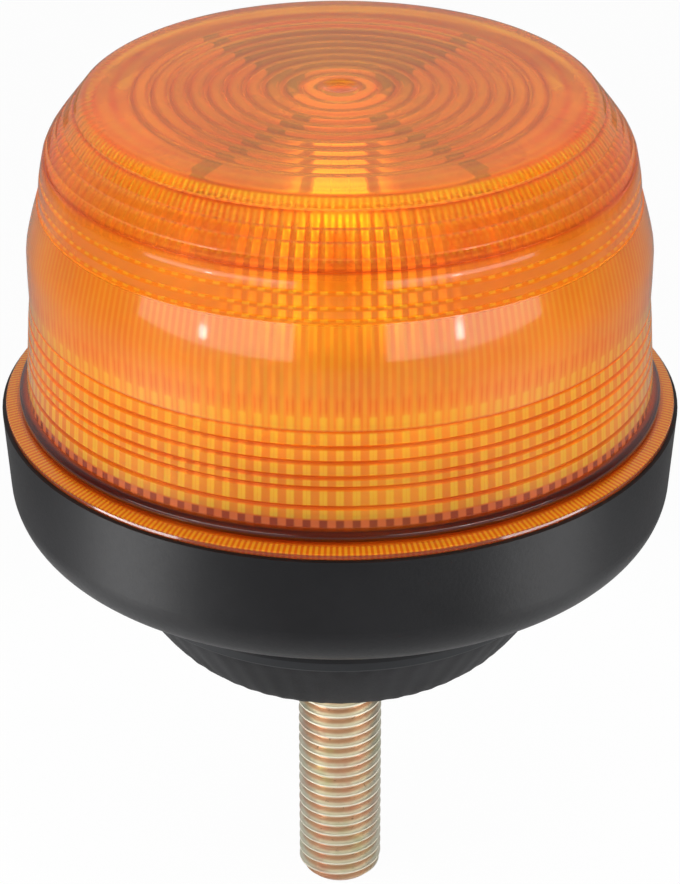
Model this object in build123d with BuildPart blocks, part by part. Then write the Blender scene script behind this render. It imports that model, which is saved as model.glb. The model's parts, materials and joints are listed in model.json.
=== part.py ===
from build123d import *
import os
from math import acos, asin, cos, degrees, pi, radians, sin, sqrt, tan

# Rotating beacon on a single mounting stud.
# The origin is on the stud's axis in the seat plane, which is the underside of the rubber foot. +Z is up.
# -Y is the side that faces the viewer, and +Y is the rear, where the cable enters.

# Clearances
slip = 0.05  # between pieces of one body that are assembled by hand
running = 0.05  # radial, in a bearing
screw_clearance = 0.1
dome_gap = 0.1  # under the dome's flange
bayonet_gap = 0.3
embed = 0.5  # depth by which a moulded feature roots in its wall
full_turn = 360.0

# Mounting stud, M14 x 2
stud_radius = 7.0
stud_length = 48.5  # below the seat
stud_pitch = 2.0
stud_plain_length = 8.0  # unthreaded shank under the seat
stud_tip_chamfer = 1.5
thread_depth_share = 0.6135
thread_crest_share = 0.125
thread_root_share = 0.25
relief_depth = 0.4
relief_width = 1.0
undercut_width = 2.0  # between the shank and the thread
bolt_head_flats = 22.0
bolt_head_height = 7.0
locknut_flats = 21.0
locknut_height = 7.5
bolt_washer_radius = 14.0
bolt_washer_thickness = 2.0

# Rubber foot
pad_height = 16.2
pad_floor_inset = 1.0  # from the flat of the base's floor in to the lip
pad_lip_step = 0.8
pad_bulge_inset = 6.4
pad_bulge_height = 5.6
pad_bottom_inset = 12.5
pad_lip_height = 2.3
pad_edge_round = 0.5
pad_nut_wall = 6.0  # rubber left under the locknut's pocket
pad_nut_gap = 1.0
pad_bolt_gap = 0.3

# Base housing
base_rim_radius = 54.0
base_rim_height = 43.7
base_side_foot_inset = 1.1
base_side_foot_height = 26.3
base_corner_round = 9.0
base_floor_inset = 16.0
base_floor_step = 1.2
base_wall = 2.6
base_floor_thickness = 2.8
collar_wall = 2.2
collar_height = 5.0

# Bayonet between dome and base
bayonet_count = 3
ledge_reach = 1.8  # from the base's inner wall
ledge_thickness = 1.5
ledge_arc = 40.0
lug_thickness = 1.5
lug_arc = 24.0
lug_wall_gap = 0.3
stop_arc = 5.0
stop_gap_angle = 1.0
seal_section_radius = 0.75

# Dome lens, from the flange up
# A station is an inset from the lens foot, a height and the upward tilt of its normal.
flange_inset = 0.6
flange_edge_height = 0.9
flange_rise = 0.5
bead_step = 2.5
bead_bulge = 0.5
bead_height = 2.0
lens_foot_step = 3.4
waist_station = (1.15, 63.8, 0.0)
belly_stations = ((1.0, 69.0, 0.0), (1.05, 71.5, 6.0), (1.75, 74.9, 13.0))
step_station = (2.9, 79.0, 15.0)
step_depth = 0.2
band_station = (3.5, 83.0, 9.0)
neck_station = (4.2, 86.6, 17.0)
crown_stations = ((4.9, 88.2, 25.0), (6.1, 90.0, 34.0), (7.6, 92.0, 38.0))
brow_station = (9.6, 94.6, 43.0)
brow_bulge_station = (10.4, 95.4, 65.0)
top_edge_station = (11.6, 95.8, 88.0)
dome_top_height = 96.6
lens_wall = 2.4
skirt_wall = 2.2
skirt_depth = 4.9
groove_depth = 0.3
neck_groove_scale = 1.5
foot_groove_pitch = 2.45
foot_groove_count = 6
first_foot_groove = 1.65  # over the lens foot
band_groove_pitch = 2.3
band_groove_count = 3
crown_groove_pitch = 1.8
crown_groove_count = 4
top_ring_pitch = 2.9
top_ring_margin = 5.0  # from the edge of the top in to the outermost ring
top_ring_depth = 0.5
top_ring_width = 1.3
dimple_radius = 2.6
dimple_depth = 0.7

# Chassis deck
deck_height = 38.0
deck_thickness = 2.5
deck_dome_gap = 0.8
chassis_post_gear_gap = 3.2
chassis_post_radius = 3.4
chassis_post_count = 4
chassis_screw_radius = 1.5
chassis_screw_head_radius = 2.8
chassis_screw_head_height = 2.0
chassis_screw_length = 12.0

# Gear pair: ring gear on the rotor, pinion on the motor
gear_module = 1.0
motor_base_gap = 8.0
pinion_teeth = 12
pressure_angle = 25.0
tooth_thinning = 0.08  # off each flank at the pitch circle
tooth_root_share = 1.25
gear_centre_gap = 0.1
gear_width = 5.0
gear_lift = 1.0  # over the deck
pinion_end_gap = 0.3  # from each face of the gear in to the pinion's end

# Lamp post and rotor bearing
post_flange_radius = 15.0
post_flange_thickness = 2.5
sleeve_radius = 9.5
sleeve_top_gap = 0.2
post_bore_radius = 2.5
post_neck_radius = 4.0
post_neck_length = 9.0
post_screw_circle = 12.3
post_screw_count = 3
post_screw_radius = 1.25
post_screw_head_radius = 2.2
post_screw_head_height = 1.5
bush_wall = 2.0
thrust_washer_radius = 14.0
thrust_washer_thickness = 0.8
axial_play = 0.1
ring_groove_depth = 0.4
ring_thickness = 0.8
ring_width = 2.4

# Rotor: turntable, reflector cage and what it carries
turntable_overhang = 3.5
turntable_thickness = 2.0
hub_wall = 2.0
hub_height = 3.2
cage_overhang = 3.5
cage_floor_thickness = 1.2
vane_thickness = 1.6
vane_inner_radius = 11.6
vane_hub_gap = 0.3
vane_half_angle = 38.0  # from the front and rear axis to each vane
rotor_top_gap = 0.9  # from the dome's inner face at the rim of its top down to the strips
strip_height = 1.2
strip_width = 2.0
strip_inner_radius = 9.0
hub_disc_radius = 14.0
hub_disc_thickness = 1.4
hub_slot_count = 16
hub_slot_circle = 10.4
hub_slot_width = 1.2
hub_slot_length = 3.0
hub_cap_radius = 7.6
hub_cap_thickness = 1.2
hub_cap_stem_radius = 2.0
shade_inset = 3.5
shade_inner_radius = 16.5
shade_wall = 1.2
shade_side_gap = 0.3
cage_screw_count = 4
cage_screw_radius = 1.25
cage_screw_head_radius = 2.3
cage_screw_head_height = 1.6
balance_radius = 3.5
balance_height = 5.0
balance_inset = 7.6

# Lamp head
head_width = 13.6
head_groove_width = 2.4
head_groove_depth = 0.8
head_top_gap = 1.5
led_board_width = 9.6
led_board_thickness = 1.0
led_board_foot = 3.0
led_board_length = 30.0
led_columns = 3
led_rows = 7
led_width = 2.7
led_length = 3.6
led_thickness = 0.8
led_gap = 0.3

# Motor
motor_radius = 10.2
motor_length = 12.0
motor_wall = 0.8
motor_bore_radius = 3.0
motor_boss_height = 1.5
motor_shaft_radius = 1.0
magnet_thickness = 1.4
magnet_arc = 130.0
magnet_end_gap = 1.2
armature_gap = 0.5
armature_slots = 3
armature_slot_width = 1.2
end_cap_thickness = 1.4
end_cap_inset = 0.3
terminal_width = 2.0
terminal_thickness = 0.4
terminal_length = 2.0
terminal_spread = 4.5
motor_screw_circle = 6.0
motor_screw_radius = 1.0
motor_screw_head_radius = 1.9
motor_screw_head_height = 0.9

# Driver board and its components
board_deck_gap = 6.2  # from the deck's underside down to the board's top
board_thickness = 1.6
board_deck_inset = 5.3
board_motor_gap = 2.0
board_post_gap = 0.8
standoff_board_inset = 10.0
standoff_radius = 3.0
standoff_angles = (200.0, 270.0, 340.0)
board_screw_radius = 1.2
board_screw_head_radius = 2.4
board_screw_head_height = 1.6
board_screw_length = 7.0
capacitor_radius = 3.0
capacitor_height = 5.4
capacitor_places = ((-27.0, 8.0), (-27.0, 0.0), (-33.5, 4.0))
choke_radius = 5.0
choke_hole_radius = 2.2
choke_height = 4.2
choke_place = (28.0, 4.0)
regulator_size = (6.6, 6.1, 2.3)
regulator_tab_size = (5.4, 2.0, 0.9)
regulator_place = (13.0, -20.0)
chip_size = (5.0, 6.2, 1.5)
chip_places = ((-12.0, -27.0), (10.0, -33.0), (19.0, -8.0))
terminal_block_size = (13.0, 8.0, 5.6)
terminal_block_place = (-19.0, -15.0)
terminal_entry_radius = 1.4
terminal_entry_pitch = 4.5
terminal_entry_depth = 4.0
terminal_ways = 2
lead_radius = 0.6
lamp_lead_spread = 1.3
lamp_lead_end_gap = 1.5  # below the top of the post's neck
motor_lead_reach = 10.1
motor_lead_bend_radius = 3.0

# Cable inlet in the rear wall
inlet_angle = 128.0
inlet_rim_drop = 10.8  # from the base's rim down to the inlet's axis
inlet_boss_radius = 7.2
inlet_boss_height = 0.6  # proud of the base's rim
inlet_hole_radius = 4.6
inlet_seat_margin = 0.4  # of flat round the grommet's inner lip
grommet_flange_radius = 6.4
grommet_flange_thickness = 1.0
grommet_inner_lip_radius = 5.0
grommet_inner_lip_thickness = 1.2
cable_radius = 3.0

# Sizes worked out from those above
thread_depth = thread_depth_share * stud_pitch
floor_top = pad_height + base_floor_thickness
base_side_foot_radius = base_rim_radius - base_side_foot_inset
base_floor_radius = base_rim_radius - base_floor_inset
pad_lip_radius = base_floor_radius - pad_floor_inset
pad_top_radius = pad_lip_radius - pad_lip_step
pad_bulge_radius = pad_lip_radius - pad_bulge_inset
pad_bottom_radius = pad_lip_radius - pad_bottom_inset
flange_radius = base_rim_radius - flange_inset
bead_radius = flange_radius - bead_step
lens_foot_radius = flange_radius - lens_foot_step


def placed(station):
    """A lens station with its radius in place of its inset."""
    inset, height, tilt = station
    return (lens_foot_radius - inset, height, tilt)


waist = placed(waist_station)
belly = [placed(station) for station in belly_stations]
step = placed(step_station)
band = placed(band_station)
neck = placed(neck_station)
crown = [placed(station) for station in crown_stations]
brow = placed(brow_station)
brow_bulge = placed(brow_bulge_station)
top_edge = placed(top_edge_station)
top_ring_count = int((top_edge[0] - top_ring_margin) / top_ring_pitch)
deck_top = deck_height + deck_thickness
flange_bottom = base_rim_height + dome_gap
flange_top = flange_bottom + flange_edge_height
bead_foot = flange_top + flange_rise
lens_foot = bead_foot + bead_height
base_inner_radius = base_rim_radius - base_wall
cone_rise = base_side_foot_height - pad_height - base_floor_step
cone_slope = cone_rise / (base_side_foot_radius - base_floor_radius)
cone_lift = base_wall * sqrt(1 + cone_slope**2)
inner_foot_radius = base_side_foot_radius - base_wall
inner_foot_height = base_side_foot_height - cone_slope * base_wall + cone_lift
inner_floor_radius = inner_foot_radius - (inner_foot_height - floor_top) / cone_slope
side_draft = (base_inner_radius - inner_foot_radius) / (base_rim_height - inner_foot_height)
ledge_radius = base_inner_radius - ledge_reach
skirt_radius = ledge_radius - bayonet_gap
skirt_inner_radius = skirt_radius - skirt_wall
skirt_bottom = flange_bottom - skirt_depth
ledge_bottom = skirt_bottom + lug_thickness + bayonet_gap
lug_radius = base_inner_radius - side_draft * (base_rim_height - skirt_bottom) - lug_wall_gap
inlet_height = base_rim_height - inlet_rim_drop
inlet_wall_radius = base_inner_radius - side_draft * (base_rim_height - inlet_height + grommet_inner_lip_radius)
inlet_seat_radius = inlet_wall_radius - grommet_inner_lip_radius**2 / (2 * inlet_wall_radius)
inlet_boss_reach = base_rim_radius + inlet_boss_height
inlet_boss_length = inlet_boss_reach - inlet_seat_radius
deck_radius = skirt_inner_radius - deck_dome_gap
pinion_radius = gear_module * pinion_teeth / 2
gear_room = base_inner_radius - motor_base_gap - motor_radius - pinion_radius - gear_centre_gap
gear_teeth = int(2 * gear_room / gear_module)
gear_radius = gear_module * gear_teeth / 2
turntable_radius = gear_radius + turntable_overhang
cage_radius = turntable_radius + cage_overhang
shade_outer_radius = cage_radius - shade_inset
balance_circle = cage_radius - balance_inset
chassis_post_circle = gear_radius + gear_module + chassis_screw_head_radius + chassis_post_gear_gap
board_radius = deck_radius - board_deck_inset
standoff_circle = board_radius - standoff_board_inset
motor_offset = gear_radius + pinion_radius + gear_centre_gap
gear_bottom = deck_top + gear_lift
gear_top = gear_bottom + gear_width
turntable_top = gear_top + turntable_thickness
bush_inner_radius = sleeve_radius + running
bush_radius = bush_inner_radius + bush_wall
hub_radius = bush_radius + hub_wall
cage_screw_circle = (hub_radius + gear_radius) / 2
bush_bottom = deck_top + thrust_washer_thickness + axial_play
bush_top = turntable_top + hub_height
cage_floor_top = turntable_top + cage_floor_thickness
strip_top = top_edge[1] - lens_wall - rotor_top_gap
vane_top = strip_top - strip_height
hub_disc_bottom = vane_top - hub_disc_thickness
ring_bottom = bush_top + axial_play
sleeve_top = ring_bottom + ring_thickness + sleeve_top_gap
head_top = hub_disc_bottom - head_top_gap
board_top = deck_height - board_deck_gap
board_height = board_top - board_thickness
motor_bottom = deck_height - motor_length
washer_top = floor_top + bolt_washer_thickness
locknut_bottom = pad_height - locknut_height


def save(block, name):
    """Label a finished piece and write it to its own file."""
    block.part.label = name
    export_step(block.part, f"parts/{name}.step")


def involute_outline(teeth, module, thinning):
    """Points round a spur gear, four up each involute flank, the first tooth centred on +X."""
    pitch_r = module * teeth / 2
    base_r = pitch_r * cos(radians(pressure_angle))
    root_r = pitch_r - tooth_root_share * module
    tip_r = pitch_r + module
    flank_steps = 4
    start_r = max(base_r, root_r)
    roll_at_pitch = tan(radians(pressure_angle)) - radians(pressure_angle)
    half_tooth = pi / (2 * teeth) - thinning / pitch_r

    def flank(radius):
        """Half the tooth's angle at a radius."""
        roll = acos(min(1.0, base_r / radius))
        return half_tooth + roll_at_pitch - (tan(roll) - roll)

    radii = [start_r + (tip_r - start_r) * i / (flank_steps - 1) for i in range(flank_steps)]
    half = [(r, flank(r)) for r in radii]
    if root_r < start_r:
        half.insert(0, (root_r, flank(start_r)))
    outline = []
    for tooth in range(teeth):
        centre = 2 * pi * tooth / teeth
        outline += [(r * cos(centre - a), r * sin(centre - a)) for r, a in half]
        outline += [(r * cos(centre + a), r * sin(centre + a)) for r, a in reversed(half)]
    return outline


def ring_profile(inner, outer, bottom, top):
    """A rectangle of a ring's section, for a revolve about Z, in the open sketch."""
    with Locations(((inner + outer) / 2, (bottom + top) / 2)):
        Rectangle(outer - inner, top - bottom)


def on_circle(radius, angle):
    """A point on a circle about the axis, by its angle in degrees from +X."""
    return (radius * cos(radians(angle)), radius * sin(radians(angle)))


def arc_start(angle):
    """The revolve plane that holds the axis and starts at an angle from +X."""
    return Plane(origin=(0, 0, 0), x_dir=(*on_circle(1, angle), 0), z_dir=(*on_circle(1, angle - 90), 0))


os.makedirs("parts", exist_ok=True)

# Mounting stud: a hexagon-headed bolt whose shank leaves through the foot
with BuildPart() as mounting_bolt:
    with BuildSketch(Plane.XY.offset(-stud_length)):
        Circle(stud_radius)
    extrude(amount=stud_length + washer_top)
    chamfer(mounting_bolt.edges().group_by(Axis.Z)[0], stud_tip_chamfer)
    with BuildSketch(Plane.XZ):
        ring_profile(stud_radius - relief_depth, stud_radius + slip, 0, relief_width)
    revolve(axis=Axis.Z, mode=Mode.SUBTRACT)
    with BuildLine(Plane.XY.offset(-stud_length - stud_pitch)) as thread_path:
        thread_end = stud_plain_length + undercut_width / 2
        coil = Helix(pitch=stud_pitch, height=stud_length + stud_pitch - thread_end, radius=stud_radius)
    with BuildSketch(Plane(origin=coil @ 0, x_dir=(1, 0, 0), z_dir=coil % 0)):
        with BuildLine():
            mouth = stud_pitch * (1 - thread_crest_share) / 2
            root = stud_pitch * thread_root_share / 2
            Polyline((slip, -mouth), (slip, mouth), (-thread_depth, root), (-thread_depth, -root), close=True)
        make_face()
    sweep(path=thread_path.wire(), is_frenet=True, mode=Mode.SUBTRACT)
    with BuildSketch(Plane.XZ):
        undercut_radius = stud_radius - thread_depth - slip
        undercut_bottom = -stud_plain_length - undercut_width
        ring_profile(undercut_radius, stud_radius + slip, undercut_bottom, -stud_plain_length)
    revolve(axis=Axis.Z, mode=Mode.SUBTRACT)
    with BuildSketch(Plane.XY.offset(washer_top)):
        RegularPolygon(bolt_head_flats / 2, 6, major_radius=False)
    extrude(amount=bolt_head_height)
save(mounting_bolt, "mounting_bolt")

with BuildPart() as bolt_washer:
    with BuildSketch(Plane.XY.offset(floor_top)):
        Circle(bolt_washer_radius)
        Circle(stud_radius + screw_clearance, mode=Mode.SUBTRACT)
    extrude(amount=bolt_washer_thickness)
save(bolt_washer, "bolt_washer")

with BuildPart() as bolt_locknut:
    with BuildSketch(Plane.XY.offset(locknut_bottom)):
        RegularPolygon(locknut_flats / 2, 6, major_radius=False)
        Circle(stud_radius + slip, mode=Mode.SUBTRACT)
    extrude(amount=locknut_height)
save(bolt_locknut, "bolt_locknut")

# Rubber foot: a lipped cone with a pocket for the locknut
with BuildPart() as mounting_pad:
    with BuildSketch(Plane.XZ):
        with BuildLine():
            lip_bottom = pad_height - pad_lip_height
            Polyline((0, 0), (pad_bottom_radius, 0))
            bulge = (pad_bulge_radius, pad_bulge_height)
            ThreePointArc((pad_bottom_radius, 0), bulge, (pad_top_radius, lip_bottom))
            Polyline(
                (pad_top_radius, lip_bottom),
                (pad_lip_radius, lip_bottom),
                (pad_lip_radius, pad_height),
                (0, pad_height),
                (0, 0),
            )
        make_face()
    revolve(axis=Axis.Z)
    lip_edges = mounting_pad.edges().filter_by(GeomType.CIRCLE).filter_by(
        lambda edge: abs(edge.radius - pad_lip_radius) < slip
    )
    fillet(lip_edges, pad_edge_round)
    with BuildSketch(Plane.XY):
        Circle(stud_radius + pad_bolt_gap)
    extrude(amount=pad_height, mode=Mode.SUBTRACT)
    with BuildSketch(Plane.XY.offset(pad_nut_wall)):
        Circle(locknut_flats / 2 / cos(pi / 6) + pad_nut_gap)
    extrude(amount=pad_height - pad_nut_wall, mode=Mode.SUBTRACT)
save(mounting_pad, "mounting_pad")

# Base housing: a bowl whose floor stands on the foot, its walls offset inwards from the outer faces
with BuildPart() as base_housing:
    with BuildSketch(Plane.XZ):
        Polygon(
            (0, pad_height),
            (base_floor_radius, pad_height),
            (base_floor_radius, pad_height + base_floor_step),
            (base_side_foot_radius, base_side_foot_height),
            (base_rim_radius, base_rim_height),
            (0, base_rim_height),
            align=None,
        )
    revolve(axis=Axis.Z)
    corner_edge = base_housing.edges().filter_by(GeomType.CIRCLE).sort_by(
        lambda edge: abs(edge.radius - base_side_foot_radius)
    )[0]
    fillet(corner_edge, base_corner_round)
    with BuildSketch(Plane.XZ):
        Polygon(
            (0, floor_top),
            (inner_floor_radius, floor_top),
            (inner_foot_radius, inner_foot_height),
            (base_inner_radius, base_rim_height),
            (0, base_rim_height),
            align=None,
        )
    revolve(axis=Axis.Z, mode=Mode.SUBTRACT)
    with BuildSketch(Plane.XY.offset(pad_height)):
        Circle(stud_radius + screw_clearance)
    extrude(amount=base_floor_thickness, mode=Mode.SUBTRACT)
    # Collar round the bolt's washer
    with BuildSketch(Plane.XY.offset(floor_top - embed)):
        Circle(bolt_washer_radius + slip + collar_wall)
        Circle(bolt_washer_radius + slip, mode=Mode.SUBTRACT)
    extrude(amount=collar_height + embed)
    # Posts for the deck and standoffs for the driver board
    with BuildSketch(Plane.XY.offset(floor_top - embed)):
        with PolarLocations(chassis_post_circle, chassis_post_count, start_angle=full_turn / chassis_post_count / 2):
            Circle(chassis_post_radius)
    extrude(amount=deck_height - floor_top + embed)
    with BuildSketch(Plane.XY.offset(floor_top - embed)):
        with Locations(*[on_circle(standoff_circle, angle) for angle in standoff_angles]):
            Circle(standoff_radius)
    extrude(amount=board_height - floor_top + embed)
    with BuildSketch(Plane.XY.offset(deck_top)):
        with PolarLocations(chassis_post_circle, chassis_post_count, start_angle=full_turn / chassis_post_count / 2):
            Circle(chassis_screw_radius + slip)
    extrude(amount=-(chassis_screw_length + screw_clearance), mode=Mode.SUBTRACT)
    with BuildSketch(Plane.XY.offset(board_top)):
        with Locations(*[on_circle(standoff_circle, angle) for angle in standoff_angles]):
            Circle(board_screw_radius + slip)
    extrude(amount=-(board_screw_length + screw_clearance), mode=Mode.SUBTRACT)
    # Bayonet ledges, each with a stop for the dome's lug
    for number in range(bayonet_count):
        centre = full_turn * number / bayonet_count
        with BuildSketch(arc_start(centre - ledge_arc / 2)):
            ring_profile(ledge_radius, base_inner_radius + embed, ledge_bottom, ledge_bottom + ledge_thickness)
        revolve(axis=Axis.Z, revolution_arc=ledge_arc)
        with BuildSketch(arc_start(centre - lug_arc / 2 - stop_gap_angle - stop_arc)):
            ring_profile(ledge_radius, base_inner_radius + embed, skirt_bottom, ledge_bottom)
        revolve(axis=Axis.Z, revolution_arc=stop_arc)
    # Flat boss and hole for the cable's grommet
    inlet_plane = Plane(
        origin=(*on_circle(inlet_seat_radius, inlet_angle), inlet_height),
        x_dir=(*on_circle(1, inlet_angle + 90), 0),
        z_dir=(*on_circle(1, inlet_angle), 0),
    )
    with BuildSketch(inlet_plane):
        Circle(grommet_inner_lip_radius + inlet_seat_margin)
    extrude(amount=base_wall)
    with BuildSketch(inlet_plane.offset(base_wall)):
        Circle(inlet_boss_radius)
    extrude(amount=inlet_boss_length - base_wall)
    with BuildSketch(inlet_plane):
        Circle(inlet_hole_radius + slip)
    extrude(amount=inlet_boss_length, mode=Mode.SUBTRACT)
save(base_housing, "base_housing")

with BuildPart() as cable_grommet:
    with BuildSketch(inlet_plane.offset(-slip - grommet_inner_lip_thickness)):
        Circle(grommet_inner_lip_radius)
    extrude(amount=grommet_inner_lip_thickness)
    with BuildSketch(inlet_plane.offset(-slip)):
        Circle(inlet_hole_radius)
    extrude(amount=inlet_boss_length + 2 * slip)
    with BuildSketch(inlet_plane.offset(inlet_boss_length + slip)):
        Circle(grommet_flange_radius)
    extrude(amount=grommet_flange_thickness)
    outer_rim = cable_grommet.edges().sort_by(Axis(inlet_plane.origin, inlet_plane.z_dir))[-1]
    fillet(outer_rim, grommet_flange_thickness / 2)
    with BuildSketch(inlet_plane.offset(-slip - grommet_inner_lip_thickness)):
        Circle(cable_radius)
    extrude(amount=inlet_boss_reach, mode=Mode.SUBTRACT)
save(cable_grommet, "cable_grommet")

# O-ring on the dome's skirt, above the bayonet ledges
with BuildPart() as dome_seal:
    with BuildSketch(Plane.XZ):
        seal_bottom = ledge_bottom + ledge_thickness + slip
        with Locations(((skirt_radius + base_inner_radius) / 2, seal_bottom + seal_section_radius)):
            Circle(seal_section_radius)
    revolve(axis=Axis.Z)
save(dome_seal, "dome_seal")


def inset_point(station, inset):
    """A station moved inwards along its normal."""
    radius, height, tilt = station
    return (radius - inset * cos(radians(tilt)), height - inset * sin(radians(tilt)))


def lens_radius(height):
    """Outer radius of the lens wall at a height, on the straight line between the stations around it."""
    stations = ((lens_foot_radius, lens_foot, 0.0), waist, *belly, step, band, neck, *crown, brow)
    for low, high in zip(stations, stations[1:]):
        if low[1] <= height <= high[1]:
            return low[0] + (high[0] - low[0]) * (height - low[1]) / (high[1] - low[1])
    raise ValueError(f"no lens wall at height {height}")


def cap_middle(edge_radius, edge_height, pole_height):
    """The point halfway along a round cap's arc, from its edge to its pole on the axis."""
    rise = pole_height - edge_height
    ball = (edge_radius**2 + rise**2) / (2 * rise)
    half_angle = asin(edge_radius / abs(ball)) / 2
    return (abs(ball) * sin(half_angle), pole_height - ball * (1 - cos(half_angle)))


def lens_side(inset):
    """The line of the lens from its foot to the edge of its top, inset from the outer face."""
    shelf = (step[0] - step_depth, step[1], step[2])
    wall = (waist, *belly, step, shelf, band, neck, *crown, brow)
    Polyline((lens_foot_radius - inset, lens_foot), *[inset_point(station, inset) for station in wall])
    ThreePointArc(inset_point(brow, inset), inset_point(brow_bulge, inset), inset_point(top_edge, inset))


# Dome lens in one moulding: flange, bead, ringed wall, ringed top and a bayonet skirt
with BuildPart() as dome_lens:
    with BuildSketch(Plane.XZ):
        with BuildLine():
            lens_side(0)
            cap = cap_middle(top_edge[0], top_edge[1], dome_top_height)
            ThreePointArc(inset_point(top_edge, 0), cap, (0, dome_top_height))
            Polyline(
                (0, dome_top_height),
                (0, skirt_bottom),
                (skirt_radius, skirt_bottom),
                (skirt_radius, flange_bottom),
                (flange_radius, flange_bottom),
                (flange_radius, flange_top),
                (bead_radius, bead_foot),
            )
            bead_middle = ((bead_radius + lens_foot_radius) / 2 + bead_bulge, (bead_foot + lens_foot) / 2)
            ThreePointArc((bead_radius, bead_foot), bead_middle, (lens_foot_radius, lens_foot))
        make_face()
    revolve(axis=Axis.Z)
    with BuildSketch(Plane.XZ):
        with BuildLine():
            lens_side(lens_wall)
            # Prism rings under the top
            ceiling_edge = inset_point(top_edge, lens_wall)
            ceiling = [ceiling_edge]
            for number in range(top_ring_count, 0, -1):
                radius = top_ring_pitch * number
                under = ceiling_edge[1] + (dome_top_height - top_edge[1]) * (1 - radius / ceiling_edge[0])
                ceiling.append((radius + top_ring_width / 2, under))
                ceiling.append((radius, under + top_ring_depth))
                ceiling.append((radius - top_ring_width / 2, under))
            ceiling.append((0, dome_top_height - lens_wall))
            Polyline(
                *ceiling,
                (0, skirt_bottom),
                (skirt_inner_radius, skirt_bottom),
                (lens_foot_radius - lens_wall, lens_foot),
            )
        make_face()
    revolve(axis=Axis.Z, mode=Mode.SUBTRACT)
    # Ring grooves round the wall
    groove_heights = [lens_foot + first_foot_groove + foot_groove_pitch * n for n in range(foot_groove_count)]
    groove_heights += [step[1] + band_groove_pitch * (n + 1) for n in range(band_groove_count)]
    groove_heights += [neck[1] + crown_groove_pitch * (n + 1) for n in range(crown_groove_count)]
    with BuildSketch(Plane.XZ):
        with Locations(*[(lens_radius(height), height) for height in (*groove_heights, waist[1])]):
            Rectangle(groove_depth * sqrt(2), groove_depth * sqrt(2), rotation=45)
        with Locations((neck[0], neck[1])):
            size = groove_depth * sqrt(2) * neck_groove_scale
            Rectangle(size, size, rotation=45)
    revolve(axis=Axis.Z, mode=Mode.SUBTRACT)
    # Dimple where the moulding was filled
    with BuildSketch(Plane.XZ):
        with BuildLine():
            dimple_bottom = dome_top_height - dimple_depth
            Polyline((dimple_radius, dome_top_height), (0, dome_top_height), (0, dimple_bottom))
            middle = cap_middle(dimple_radius, dome_top_height, dimple_bottom)
            ThreePointArc((0, dimple_bottom), middle, (dimple_radius, dome_top_height))
        make_face()
    revolve(axis=Axis.Z, mode=Mode.SUBTRACT)
    for number in range(bayonet_count):
        centre = full_turn * number / bayonet_count
        with BuildSketch(arc_start(centre - lug_arc / 2)):
            ring_profile(skirt_radius - embed, lug_radius, skirt_bottom, skirt_bottom + lug_thickness)
        revolve(axis=Axis.Z, revolution_arc=lug_arc)
save(dome_lens, "dome_lens")

# Chassis deck
with BuildPart() as chassis_plate:
    with BuildSketch(Plane.XY.offset(deck_height)):
        Circle(deck_radius)
        Circle(sleeve_radius + slip, mode=Mode.SUBTRACT)
        with PolarLocations(chassis_post_circle, chassis_post_count, start_angle=full_turn / chassis_post_count / 2):
            Circle(chassis_screw_radius + slip, mode=Mode.SUBTRACT)
        with Locations((0, motor_offset)):
            Circle(motor_bore_radius + slip, mode=Mode.SUBTRACT)
            with PolarLocations(motor_screw_circle, 2):
                Circle(motor_screw_radius + slip, mode=Mode.SUBTRACT)
    extrude(amount=deck_thickness)
    with BuildSketch(Plane.XY.offset(deck_top)):
        with Locations((0, motor_offset)):
            with PolarLocations(motor_screw_circle, 2):
                Circle(motor_screw_head_radius + screw_clearance)
    extrude(amount=-(motor_screw_head_height + screw_clearance), mode=Mode.SUBTRACT)
    with BuildSketch(Plane.XY.offset(deck_height)):
        with PolarLocations(post_screw_circle, post_screw_count, start_angle=-90):
            Circle(post_screw_radius + slip)
    extrude(amount=deck_thickness - embed, mode=Mode.SUBTRACT)
save(chassis_plate, "chassis_plate")

with BuildPart() as chassis_screws:
    with BuildSketch(Plane.XY.offset(deck_top)):
        with PolarLocations(chassis_post_circle, chassis_post_count, start_angle=full_turn / chassis_post_count / 2):
            Circle(chassis_screw_head_radius)
    extrude(amount=chassis_screw_head_height)
    with BuildSketch(Plane.XY.offset(deck_top)):
        with PolarLocations(chassis_post_circle, chassis_post_count, start_angle=full_turn / chassis_post_count / 2):
            Circle(chassis_screw_radius)
    extrude(amount=-chassis_screw_length)
save(chassis_screws, "chassis_screws")

# Lamp post: a flanged sleeve that carries the rotor, with a hollow neck for the lamp head
with BuildPart() as lamp_post:
    with BuildSketch(Plane.XZ):
        Polygon(
            (post_bore_radius, deck_height - post_flange_thickness),
            (post_flange_radius, deck_height - post_flange_thickness),
            (post_flange_radius, deck_height),
            (sleeve_radius, deck_height),
            (sleeve_radius, ring_bottom),
            (sleeve_radius - ring_groove_depth, ring_bottom),
            (sleeve_radius - ring_groove_depth, ring_bottom + ring_thickness),
            (sleeve_radius, ring_bottom + ring_thickness),
            (sleeve_radius, sleeve_top),
            (post_neck_radius, sleeve_top),
            (post_neck_radius, sleeve_top + post_neck_length),
            (post_bore_radius, sleeve_top + post_neck_length),
            align=None,
        )
    revolve(axis=Axis.Z)
    with BuildSketch(Plane.XY.offset(deck_height)):
        with PolarLocations(post_screw_circle, post_screw_count, start_angle=-90):
            Circle(post_screw_radius + slip)
    extrude(amount=-post_flange_thickness, mode=Mode.SUBTRACT)
save(lamp_post, "lamp_post")

with BuildPart() as post_screws:
    with BuildSketch(Plane.XY.offset(deck_height - post_flange_thickness)):
        with PolarLocations(post_screw_circle, post_screw_count, start_angle=-90):
            Circle(post_screw_head_radius)
    extrude(amount=-post_screw_head_height)
    with BuildSketch(Plane.XY.offset(deck_height - post_flange_thickness)):
        with PolarLocations(post_screw_circle, post_screw_count, start_angle=-90):
            Circle(post_screw_radius)
    extrude(amount=post_flange_thickness + deck_thickness - embed - screw_clearance)
save(post_screws, "post_screws")

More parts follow.
